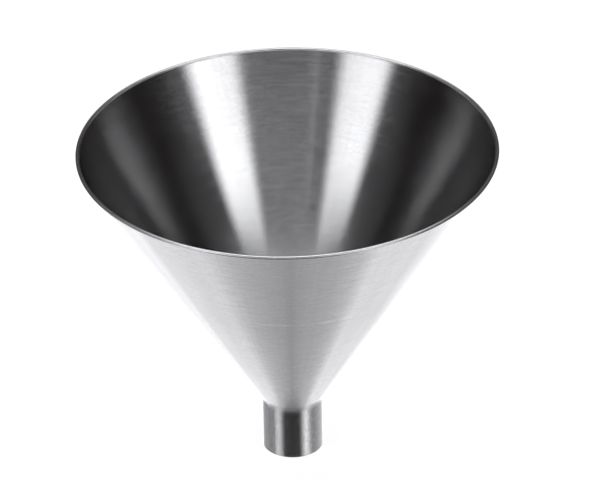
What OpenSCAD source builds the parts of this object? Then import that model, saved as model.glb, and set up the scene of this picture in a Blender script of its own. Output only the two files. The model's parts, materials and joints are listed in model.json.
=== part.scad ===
// Canning funnel: a wide spun steel cone, welded to a short tube spout. Millimetres, +Z up.
// The origin is the centre of the spout's open end, on which the funnel stands.

/* [Cone] */
// Outer diameter over the rim's bead
rim_d = 150; // [110:1:200]
// Height from the neck line up to the top of the rim
cone_h = 102.5; // [75:0.5:150]
// Thickness of the spun sheet
sheet_t = 1.2; // [0.8:0.1:2]
// How much thicker than the sheet the rim's fully rounded bead is
bead_extra = 0.2; // [0:0.1:0.6]

/* [Spout] */
// Outer diameter of the spout's tube
spout_d = 22; // [16:0.5:32]
// Length of the spout from its open end up to the neck line
spout_l = 20.5; // [12:0.5:40]
// Wall of the spout's tube
spout_t = 1.2; // [0.9:0.1:2]
// Rounding of the tube's outer corner at the open end
end_round = 0.4; // [0.1:0.1:0.6]
// Deburring of the tube's bore at the open end
end_deburr = 0.2; // [0.1:0.05:0.25]

/* [Neck weld] */
// Fillet radius of the dressed weld around the outside of the neck
weld_r = 6; // [2:0.5:8]
// Width of the land on the inside, where the cone and the tube butt together
root_land = 0.5; // [0.3:0.1:0.6]

/* [Hidden] */
$fn = 180;
// How far a cutting shape reaches past what it cuts
over = 5;
rim_r = rim_d / 2;
spout_r = spout_d / 2;
bore_r = spout_r - spout_t;
total_h = spout_l + cone_h;

// The rim's bead, seen in section: a circle on the middle line of the sheet
bead_r = (sheet_t + bead_extra) / 2;
bead = [rim_r - bead_r, total_h - bead_r];

// The neck's corner, where the cone's outer line meets the tube
neck = [spout_r, spout_l];

// Half angle of the cone, whose outer line starts at the neck's corner and passes the bead's centre
// at half the sheet's thickness
half_t = sheet_t / 2;
reach = bead - neck;
half = atan2(reach.x, reach.y) + asin(half_t / norm(reach));

// Unit vectors up the cone's wall and out of it
along = [sin(half), cos(half)];
outward = [cos(half), -sin(half)];

// The weld's groove: its root, and the two lines where the fillet touches the walls
tangent = weld_r * tan(half / 2);
root = [bore_r + root_land, spout_l];
on_tube = neck - [0, tangent];
on_cone = neck + tangent * along;

// Section of the cone's wall with the bead at the rim, running on below the neck line
module wall_section() {
    low = neck - over * along;
    polygon([low, bead + half_t * outward, bead - half_t * outward, low - sheet_t * outward]);
    translate(bead) circle(r = bead_r);
}

// Section of what the neck's preparation takes off the cone: the bevel's side, and the reamed bore
module neck_cut_section() {
    bevel_end = root + over * (on_cone - root);
    polygon([[0, spout_l], root, bevel_end, [bevel_end.x, 0], [0, 0]]);
    square([bore_r, total_h]);
}

// Spun cone with a small bead at the rim, bevelled outside at the neck and reamed to the tube's bore
module cone() {
    color([0.76, 0.76, 0.77])
        rotate_extrude()
            difference() {
                wall_section();
                neck_cut_section();
            }
}

// Tube spout: bevelled for the weld at the top, rounded and deburred at the open end
module spout() {
    corner = [spout_r - end_round, end_round];
    color([0.72, 0.72, 0.74])
        rotate_extrude() {
            polygon([
                [bore_r, end_deburr], [bore_r + end_deburr, 0], [corner.x, 0], corner,
                [spout_r, end_round], on_tube, root, [bore_r, spout_l]
            ]);
            intersection() {
                translate(corner) circle(r = end_round);
                translate([corner.x, 0]) square(end_round);
            }
        }
}

// Weld metal round the neck: fills the groove, and is ground back to a hollow fillet
module neck_weld() {
    color([0.74, 0.74, 0.75])
        rotate_extrude()
            difference() {
                polygon([root, on_tube, on_cone]);
                translate(on_tube + [weld_r, 0]) circle(r = weld_r);
            }
}

cone();
spout();
neck_weld();
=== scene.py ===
"""A canning funnel of brushed steel on a pale floor, under a plain studio light. Metres, +Z up."""

import json
import math
from collections import namedtuple

import bpy
from mathutils import Matrix, Vector


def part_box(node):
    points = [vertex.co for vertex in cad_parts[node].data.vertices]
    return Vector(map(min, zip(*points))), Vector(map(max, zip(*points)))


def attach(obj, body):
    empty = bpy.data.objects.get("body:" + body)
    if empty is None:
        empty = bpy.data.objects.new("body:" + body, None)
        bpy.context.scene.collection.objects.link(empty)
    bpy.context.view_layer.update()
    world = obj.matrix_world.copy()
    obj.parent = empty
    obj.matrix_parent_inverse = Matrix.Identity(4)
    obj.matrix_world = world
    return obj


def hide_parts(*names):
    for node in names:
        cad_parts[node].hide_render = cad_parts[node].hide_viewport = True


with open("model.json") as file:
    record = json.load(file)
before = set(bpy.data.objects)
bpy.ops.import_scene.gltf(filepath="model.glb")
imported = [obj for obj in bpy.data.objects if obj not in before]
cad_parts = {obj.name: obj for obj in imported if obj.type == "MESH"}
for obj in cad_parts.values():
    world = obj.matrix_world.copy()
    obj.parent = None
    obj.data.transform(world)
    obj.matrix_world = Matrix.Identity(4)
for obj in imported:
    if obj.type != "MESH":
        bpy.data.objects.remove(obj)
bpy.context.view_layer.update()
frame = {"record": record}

# ---------------------------------------------------------------- sizes
_, CONE_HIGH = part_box("cone")
_, SPOUT_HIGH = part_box("spout")
MOUNTS = {mount["name"]: mount for mount in frame["record"]["mounts"]}

RIM_R = min(CONE_HIGH.x, CONE_HIGH.y)
TOP_Z = CONE_HIGH.z
NECK_Z = SPOUT_HIGH.z
SPOUT_R = SPOUT_HIGH.x
BORE_R = MOUNTS["spout_bore"]["dims"]["r_mm"] / 1000

SHEET = 0.0012  # thickness of the cone's wall
BEAD_R = 0.0007  # radius of the bead, seen in section
ROOT_LAND = 0.0005  # width of the land where cone and spout butt together
WELD_FILLET = 0.006  # radius of the weld's hollow face
END_ROUND = 0.0004  # outer corner of the spout's open end
END_DEBURR = 0.0002  # inner corner of the spout's open end

STEPS_ROUND = 320  # steps of every turned surface, round the axis

# ---------------------------------------------------------------- points of the section, as (radius, height)
HALF_SHEET = SHEET / 2
BEAD = Vector((RIM_R - BEAD_R, TOP_Z - BEAD_R))
NECK = Vector((SPOUT_R, NECK_Z))
BORE_TOP = Vector((BORE_R, NECK_Z))
REACH = BEAD - NECK
HALF_ANGLE = math.atan2(REACH.x, REACH.y) + math.asin(HALF_SHEET / REACH.length)
ALONG = Vector((math.sin(HALF_ANGLE), math.cos(HALF_ANGLE)))
OUTWARD = Vector((math.cos(HALF_ANGLE), -math.sin(HALF_ANGLE)))
TANGENT = WELD_FILLET * math.tan(HALF_ANGLE / 2)
ROOT = Vector((BORE_R + ROOT_LAND, NECK_Z))
ON_TUBE = NECK - Vector((0, TANGENT))
ON_CONE = NECK + TANGENT * ALONG


# ---------------------------------------------------------------- profiles
# Each profile is closed, and runs anticlockwise in section.
def line(start, end, steps):
    """Points from start to end, without the last."""
    return [start.lerp(end, i / steps) for i in range(steps)]


def arc(centre, radius, first, last, steps):
    """Points on an arc between two angles in degrees, without the last."""
    angles = [math.radians(first + (last - first) * i / steps) for i in range(steps)]
    return [centre + radius * Vector((math.cos(a), math.sin(a))) for a in angles]


def cone_profile():
    """Up the outside, round the bead, down the inside, and out along the weld's bevel."""
    slope = math.degrees(HALF_ANGLE)
    crease = math.acos(HALF_SHEET / BEAD_R)  # where the bead meets the wall's faces
    opened = math.degrees(crease)
    below_bead = BEAD - BEAD_R * math.sin(crease) * ALONG
    inner_low = NECK - SHEET * OUTWARD
    ream_top = inner_low + ALONG * (BORE_R - inner_low.x) / ALONG.x
    return (
        line(ON_CONE, below_bead + HALF_SHEET * OUTWARD, 40)
        + arc(BEAD, BEAD_R, -slope - opened, 180 - slope + opened, 28)
        + line(below_bead - HALF_SHEET * OUTWARD, ream_top, 40)
        + line(ream_top, BORE_TOP, 2)
        + line(BORE_TOP, ROOT, 2)
        + line(ROOT, ON_CONE, 3)
    )


def spout_profile():
    """Down the bore, round the open end, up the outside, and in along the weld's bevel."""
    corner = Vector((SPOUT_R - END_ROUND, END_ROUND))
    bore_low = Vector((BORE_R, END_DEBURR))
    end_in = Vector((BORE_R + END_DEBURR, 0))
    end_out = Vector((corner.x, 0))
    return (
        line(BORE_TOP, bore_low, 24)
        + line(bore_low, end_in, 2)
        + line(end_in, end_out, 3)
        + arc(corner, END_ROUND, -90, 0, 8)
        + line(Vector((SPOUT_R, END_ROUND)), ON_TUBE, 24)
        + line(ON_TUBE, ROOT, 3)
        + line(ROOT, BORE_TOP, 2)
    )


def weld_profile():
    """Up the hollow fillet, down the groove to its root, and back out."""
    centre = ON_TUBE + Vector((WELD_FILLET, 0))
    fillet = arc(centre, WELD_FILLET, 180, 180 - math.degrees(HALF_ANGLE), 24)
    return fillet + line(ON_CONE, ROOT, 3) + line(ROOT, ON_TUBE, 3)


# ---------------------------------------------------------------- meshes
SHARP_ANGLE = math.radians(14)


def lathe(name, profile):
    """A closed solid of revolution from a profile."""
    points = len(profile)
    turns = [2 * math.pi * i / STEPS_ROUND for i in range(STEPS_ROUND)]
    verts = [(p.x * math.cos(a), p.x * math.sin(a), p.y) for a in turns for p in profile]
    faces = []
    for i in range(STEPS_ROUND):
        here, there = i * points, (i + 1) % STEPS_ROUND * points
        for j in range(points):
            k = (j + 1) % points
            faces.append((here + j, there + j, there + k, here + k))
    mesh = bpy.data.meshes.new(name)
    mesh.from_pydata(verts, [], faces)
    add_ring_uv(mesh, profile)
    mesh.shade_smooth()
    mesh.set_sharp_from_angle(angle=SHARP_ANGLE)
    obj = bpy.data.objects.new(name, mesh)
    bpy.context.scene.collection.objects.link(obj)
    return obj


def add_ring_uv(mesh, profile):
    """U runs once round the axis, and V runs along the profile."""
    points = len(profile)
    lengths = [0.0]
    for j in range(points):
        lengths.append(lengths[-1] + (profile[(j + 1) % points] - profile[j]).length)
    layer = mesh.uv_layers.new(name="rings")
    for face in mesh.polygons:
        i, j = divmod(face.index, points)
        corners = ((i, j), (i + 1, j), (i + 1, j + 1), (i, j + 1))
        for loop, (u, v) in zip(face.loop_indices, corners):
            layer.data[loop].uv = (u / STEPS_ROUND, lengths[v] / lengths[-1])


# ---------------------------------------------------------------- node helpers
class Nodes:
    """Short calls for building one node tree. A value may be a plain number or another node's output."""

    def __init__(self, tree):
        self.tree = tree

    def add(self, kind, **settings):
        """A new node with some of its own properties set."""
        node = self.tree.nodes.new(kind)
        for key, value in settings.items():
            setattr(node, key, value)
        return node

    def put(self, socket, value):
        """Links an output to the socket, or sets the socket's own value."""
        if isinstance(value, bpy.types.NodeSocket):
            self.tree.links.new(value, socket)
        else:
            socket.default_value = value

    def fill(self, node, *values):
        """Puts the values on the node's inputs, in order, and gives its first output."""
        for socket, value in zip(node.inputs, values):
            self.put(socket, value)
        return node.outputs[0]

    def math(self, operation, *values):
        return self.fill(self.add("ShaderNodeMath", operation=operation), *values)

    def remap(self, value, low, high, to_low, to_high, smooth=True):
        """Takes low..high to to_low..to_high, and stays at the end values outside."""
        kind = "SMOOTHSTEP" if smooth else "LINEAR"
        node = self.add("ShaderNodeMapRange", interpolation_type=kind, clamp=True)
        return self.fill(node, value, low, high, to_low, to_high)

    def combine(self, x, y, z):
        return self.fill(self.add("ShaderNodeCombineXYZ"), x, y, z)

    def separate(self, vector):
        node = self.add("ShaderNodeSeparateXYZ")
        self.put(node.inputs[0], vector)
        return node.outputs

    def mix_shaders(self, factor, first, second):
        return self.fill(self.add("ShaderNodeMixShader"), factor, first, second)

    def noise(self, vector, detail):
        node = self.add("ShaderNodeTexNoise")
        self.put(node.inputs["Vector"], vector)
        self.put(node.inputs["Scale"], 1.0)
        self.put(node.inputs["Detail"], detail)
        return node.outputs["Fac"]


# ---------------------------------------------------------------- brushed steel
# A finish gives the pitch of the grain up the wall (per metre) and round the axis, how strongly each kind of
# mark changes the tone, and the depth of the bump in metres. The cone's inside has calmer marks.
CONE_FINISH = {
    "grain_pitch": 2000.0, "grain_round": 70.0, "depth": 0.000002, "inside": 0.7,
    "marks": {"grain": 0.45, "rings": 0.30, "streaks": 0.10, "cloud": 0.10},
}
RIM_FINISH = {
    "grain_pitch": 1300.0, "grain_round": 70.0, "depth": 0.000002,
    "marks": {"grain": 0.40, "cloud": 0.20},
}
SPOUT_FINISH = {
    "grain_pitch": 1500.0, "grain_round": 25.0, "depth": 0.000002,
    "marks": {"grain": 0.80, "rings": 0.30, "cloud": 0.10},
}
WELD_FINISH = {
    "grain_pitch": 1300.0, "grain_round": 20.0, "depth": 0.000003,
    "marks": {"grain": 0.60, "rings": 0.35, "cloud": 0.10},
}
ROUGHNESS_MARKS = {"grain": 0.05, "rings": 0.04, "cloud": 0.05}
BUMP_MARKS = {"grain": 0.5, "rings": 1.0, "cloud": 6.0}

# The outside of the cone is painted brighter by the first number at the first height, and no longer so at
# the second: painted light, standing in for a brighter reflection low on the cone.
PAINTED_GAIN, PAINTED_GAIN_FULL_Z, PAINTED_GAIN_NONE_Z = 0.16, 0.03, 0.075

# One faint turned mark on the outside: its strength, height, half width, and the part of the turn it is on.
# Across is the direction from the axis, from -1 on the left to 1 on the right, and the front is towards -Y.
MARK, MARK_Z, MARK_HALF_WIDTH = 0.2, 0.0789, 0.001
MARK_ACROSS, MARK_FULL, MARK_NONE = 0.1, 0.2, 0.45


def ring_coordinates(n):
    """The direction from the axis, as (x, y) on a unit circle, and the height in metres."""
    x, y, z = n.separate(n.add("ShaderNodeTexCoord").outputs["Object"])
    radius = n.math("SQRT", n.math("ADD", n.math("MULTIPLY", x, x), n.math("MULTIPLY", y, y)))
    return n.math("DIVIDE", x, radius), n.math("DIVIDE", y, radius), z


def ring_noise(n, place, per_metre, round_scale, detail, shift=0.0):
    """Noise with its own scale up the wall and round the axis, as brushed rings have."""
    x, y, z = place
    across = n.math("ADD", n.math("MULTIPLY", x, round_scale), shift)
    vector = n.combine(across, n.math("MULTIPLY", y, round_scale), n.math("MULTIPLY", z, per_metre))
    return n.noise(vector, detail)


def steel_noises(n, place, finish):
    """Fine scratches, turned lines, streaks along the wall, and broad uneven patches."""
    return {
        "grain": ring_noise(n, place, finish["grain_pitch"], finish["grain_round"], 3.0),
        "rings": ring_noise(n, place, 900.0, 8.0, 2.0, shift=7.0),
        "streaks": ring_noise(n, place, 8.0, 40.0, 3.0, shift=3.0),
        "cloud": ring_noise(n, place, 60.0, 2.5, 4.0, shift=11.0),
    }


def weighted(n, noises, weights):
    """The sum of (noise - 0.5) * weight."""
    total = 0.0
    for kind, weight in weights.items():
        part = n.math("MULTIPLY", n.math("SUBTRACT", noises[kind], 0.5), weight)
        total = n.math("ADD", part, total)
    return total


def faces_down(n):
    """1 on the cone's outside and 0 on its inside."""
    normal = n.add("ShaderNodeNewGeometry").outputs["True Normal"]
    return n.math("LESS_THAN", n.separate(normal)[2], 0.0)


def turned_mark(n, place):
    """A thin uneven ring on the front of the cone."""
    across, front, height = place
    off = n.math("ABSOLUTE", n.math("SUBTRACT", height, MARK_Z))
    ring = n.remap(off, 0.0, MARK_HALF_WIDTH, MARK, 0.0)
    patches = n.remap(ring_noise(n, place, 0.0, 9.0, 3.0, shift=17.0), 0.42, 0.58, 0.2, 1.0)
    aside = n.math("ABSOLUTE", n.math("SUBTRACT", across, MARK_ACROSS))
    in_front = n.math("LESS_THAN", front, 0.0)
    stretch = n.math("MULTIPLY", n.remap(aside, MARK_FULL, MARK_NONE, 1.0, 0.0), in_front)
    return n.math("MULTIPLY", ring, n.math("MULTIPLY", patches, stretch))


def wall_tone(n, place, marks, inside):
    """The tone of the cone's wall, which differs inside and outside, with painted light that brightens the
    outside low down.
    """
    outside = faces_down(n)
    marks = n.math("MULTIPLY", marks, n.remap(outside, 0.0, 1.0, inside, 1.0, smooth=False))
    # Painted light: the outside's colour is made brighter low on the cone, standing in for a brighter
    # reflection there. The turned mark added with it is a real mark.
    painted_gain = n.remap(place[2], PAINTED_GAIN_FULL_Z, PAINTED_GAIN_NONE_Z, PAINTED_GAIN, 0.0, smooth=False)
    painted_gain_and_mark = n.math("MULTIPLY", outside, n.math("ADD", painted_gain, turned_mark(n, place)))
    return n.math("MULTIPLY", n.math("ADD", marks, 1.0), n.math("ADD", painted_gain_and_mark, 1.0))


def turn_highlights(n, shader):
    """Brushing in rings draws the highlights out along the wall."""
    n.put(shader.inputs["Anisotropic"], 1.0)
    n.put(shader.inputs["Anisotropic Rotation"], 0.25)
    tangent = n.add("ShaderNodeTangent", direction_type="RADIAL", axis="Z")
    n.put(shader.inputs["Tangent"], tangent.outputs[0])


def brushed_steel(name, grey, roughness, finish, turned=True):
    """Steel brushed in rings round the axis."""
    material = bpy.data.materials.new(name)
    material.use_nodes = True
    tree = material.node_tree
    tree.nodes.clear()
    n = Nodes(tree)
    shader = n.add("ShaderNodeBsdfPrincipled")
    output = n.add("ShaderNodeOutputMaterial")
    n.put(output.inputs["Surface"], shader.outputs[0])
    n.put(shader.inputs["Metallic"], 1.0)

    place = ring_coordinates(n)
    noises = steel_noises(n, place, finish)
    marks = weighted(n, noises, finish["marks"])
    if "inside" in finish:
        tone = wall_tone(n, place, marks, finish["inside"])
    else:
        tone = n.math("ADD", marks, 1.0)
    base = n.add("ShaderNodeVectorMath", operation="SCALE")
    n.put(base.inputs[0], (grey, grey, grey))
    n.put(base.inputs["Scale"], tone)
    n.put(shader.inputs["Base Color"], base.outputs[0])
    n.put(shader.inputs["Roughness"], n.math("ADD", weighted(n, noises, ROUGHNESS_MARKS), roughness))
    if turned:
        turn_highlights(n, shader)

    bump = n.add("ShaderNodeBump")
    n.put(bump.inputs["Strength"], 1.0)
    n.put(bump.inputs["Distance"], finish["depth"])
    n.put(bump.inputs["Height"], weighted(n, noises, BUMP_MARKS))
    n.put(shader.inputs["Normal"], bump.outputs[0])
    return material


# ---------------------------------------------------------------- the funnel
STEEL_GREY = 0.57
RIM_GREY = 0.69


def piece(name, profile, *materials):
    """A turned piece that stands for a CAD node and takes its place."""
    obj = lathe(name + "_skin", profile)
    for material in materials:
        obj.data.materials.append(material)
    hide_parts(name)
    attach(obj, "root")
    return obj


def finish_rim(cone):
    """The rim's bead takes the cone's second material."""
    for face in cone.data.polygons:
        section = Vector((math.hypot(face.center.x, face.center.y), face.center.z))
        if (section - BEAD).length < 1.01 * BEAD_R:
            face.material_index = 1


def funnel():
    wall = brushed_steel("cone_steel", STEEL_GREY, 0.22, CONE_FINISH)
    rim = brushed_steel("rim_steel", RIM_GREY, 0.33, RIM_FINISH, turned=False)
    finish_rim(piece("cone", cone_profile(), wall, rim))
    piece("spout", spout_profile(), brushed_steel("spout_steel", STEEL_GREY, 0.22, SPOUT_FINISH))
    piece("neck_weld", weld_profile(), brushed_steel("weld_steel", STEEL_GREY, 0.26, WELD_FINISH))


# ---------------------------------------------------------------- the studio
WHITE = (1.0, 1.0, 1.0, 1.0)
FLOOR_HALF = 4.0
FLOOR_GREY = (0.2, 0.2, 0.2, 1.0)
FLOOR_GLOW = 0.93

# Soft panels all round, in degrees. Azimuth is from the camera, and grows to the right. Elevation is up from
# level. Each edge fades by its softness to either side.
Panel = namedtuple("Panel", "azimuth half_width elevation half_height soft_across soft_up strength")
PANELS = {
    "left softbox": Panel(-46, 14, 23, 8, 5, 4, 3.85),
    "left softbox skirt": Panel(-32, 17, 12, 11, 2, 3, 0.78),
    "right softbox": Panel(41.5, 14.5, 23, 8, 6, 4, 4.9),
    "right softbox skirt": Panel(40, 28, 8, 4, 4, 15, 0.46),
    "wall behind the camera": Panel(2, 21, 14, 13, 2, 2, 0.65),
    "overhead": Panel(0, 180, 90, 15, 30, 6, 2.14),
    "overhead back": Panel(-174, 95, 64, 7, 3, 7, 3.71),
    "left side": Panel(-91, 15, -13, 14, 4, 3, 0.88),
    "left table": Panel(-59, 14, -27, 17, 13, 3, 1.04),
    "left table low": Panel(-101, 54, -60, 10, 8, 4, 0.48),
    "left table strip": Panel(-101, 58, -47, 4, 29, 2, 0.98),
    "right table": Panel(50, 10, -31, 16, 19, 2, 1.68),
    "right table low": Panel(100, 45, -49, 20, 20, 3, 0.72),
    "table straight behind": Panel(180, 26, -33, 9, 6, 4, 2.18),
    "table far left": Panel(-134, 28, -27, 4, 3, 7, 1.25),
    "table far right": Panel(132, 32, -30, 4, 18, 2, 0.6),
    "table behind left": Panel(-151, 19, -51, 8, 2, 18, 1.5),
    "table behind right": Panel(151, 13, -47, 9, 5, 18, 2.15),
    "table under the back": Panel(-179, 89, -78, 10, 3, 9, 0.53),
    "table under": Panel(0, 180, -90, 35, 24, 2, 0.4),
}
ROOM = (0.005, 0.0025, 0.003)  # what the dark parts of the room give back, as a colour
TINT = (0.998, 1.0, 1.03)  # colour of the panels


def floor_material():
    """A pale floor that glows, so only a faint shadow is left, and is clear from below."""
    material = bpy.data.materials.new("pale_floor")
    material.use_nodes = True
    tree = material.node_tree
    n = Nodes(tree)
    shader = tree.nodes["Principled BSDF"]
    n.put(shader.inputs["Base Color"], FLOOR_GREY)
    n.put(shader.inputs["Roughness"], 0.9)
    n.put(shader.inputs["Emission Color"], WHITE)
    n.put(shader.inputs["Emission Strength"], FLOOR_GLOW)
    clear = n.add("ShaderNodeBsdfTransparent")
    below = n.add("ShaderNodeNewGeometry").outputs["Backfacing"]
    mixed = n.mix_shaders(below, shader.outputs[0], clear.outputs[0])
    n.put(tree.nodes["Material Output"].inputs["Surface"], mixed)
    return material


def floor():
    """The steel sees the studio's lower half through the floor, as light panels laid on a table."""
    h = FLOOR_HALF
    mesh = bpy.data.meshes.new("floor")
    mesh.from_pydata([(-h, -h, 0), (h, -h, 0), (h, h, 0), (-h, h, 0)], [], [(0, 1, 2, 3)])
    mesh.materials.append(floor_material())
    obj = bpy.data.objects.new("floor", mesh)
    bpy.context.scene.collection.objects.link(obj)
    obj.visible_glossy = False
    obj.visible_shadow = False


def looking_at(n):
    """Azimuth from the camera, which stands towards -Y, and elevation of a ray, in degrees."""
    x, y, z = n.separate(n.add("ShaderNodeTexCoord").outputs["Generated"])
    to_degrees = 180 / math.pi
    turn = n.math("ARCTAN2", x, n.math("MULTIPLY", y, -1.0))
    return n.math("MULTIPLY", turn, to_degrees), n.math("MULTIPLY", n.math("ARCSINE", z), to_degrees)


def panel_glow(n, azimuth, elevation, panel):
    """The panel's strength inside it, fading to none past its edges."""
    turn = n.math("ABSOLUTE", n.math("SUBTRACT", azimuth, panel.azimuth))
    turn = n.math("PINGPONG", turn, 180.0)
    rise = n.math("ABSOLUTE", n.math("SUBTRACT", elevation, panel.elevation))
    width, height = panel.half_width, panel.half_height
    across = n.remap(turn, width - panel.soft_across, width + panel.soft_across, 1.0, 0.0)
    up = n.remap(rise, height - panel.soft_up, height + panel.soft_up, 1.0, 0.0)
    return n.math("MULTIPLY", n.math("MULTIPLY", across, up), panel.strength)


def world_light():
    """The panels light the funnel, and the camera sees a white backdrop behind it."""
    world = bpy.data.worlds.new("studio")
    bpy.context.scene.world = world
    world.use_nodes = True
    tree = world.node_tree
    tree.nodes.clear()
    n = Nodes(tree)

    azimuth, elevation = looking_at(n)
    total = 0.0
    for panel in PANELS.values():
        total = n.math("ADD", total, panel_glow(n, azimuth, elevation, panel))
    colour = [n.math("ADD", n.math("MULTIPLY", total, tint), room) for tint, room in zip(TINT, ROOM)]
    studio = n.add("ShaderNodeBackground")
    n.put(studio.inputs["Color"], n.combine(*colour))

    backdrop = n.add("ShaderNodeBackground")
    n.put(backdrop.inputs["Color"], WHITE)
    seen = n.add("ShaderNodeLightPath").outputs["Is Camera Ray"]
    output = n.add("ShaderNodeOutputWorld")
    n.put(output.inputs["Surface"], n.mix_shaders(seen, studio.outputs[0], backdrop.outputs[0]))


# ---------------------------------------------------------------- camera
# It stands about two metres away, looks down at the funnel, and leans by a degree.
DISTANCE = 27.0 * RIM_R
LOOK_DOWN = math.radians(30.68)
LEAN = math.radians(-1.13)
TARGET = Vector((0.0518 * RIM_R, 0.0, BEAD.y - 0.4925 * RIM_R))
FOCAL = 9.4485  # in picture widths
SENSOR = 36.0


def camera():
    forward = Vector((0, math.cos(LOOK_DOWN), -math.sin(LOOK_DOWN)))
    level = Vector((1, 0, 0))
    upright = level.cross(forward)
    right = math.cos(LEAN) * level + math.sin(LEAN) * upright
    up = math.cos(LEAN) * upright - math.sin(LEAN) * level
    data = bpy.data.cameras.new("camera")
    data.sensor_width = SENSOR
    data.lens = FOCAL * SENSOR
    data.clip_start = 0.01
    obj = bpy.data.objects.new("camera", data)
    bpy.context.scene.collection.objects.link(obj)
    turn = Matrix((right, up, -forward)).transposed()
    obj.matrix_world = Matrix.Translation(TARGET - DISTANCE * forward) @ turn.to_4x4()
    bpy.context.scene.camera = obj


# ---------------------------------------------------------------- the scene
funnel()
floor()
world_light()
camera()
bpy.context.scene.view_settings.view_transform = "Standard"
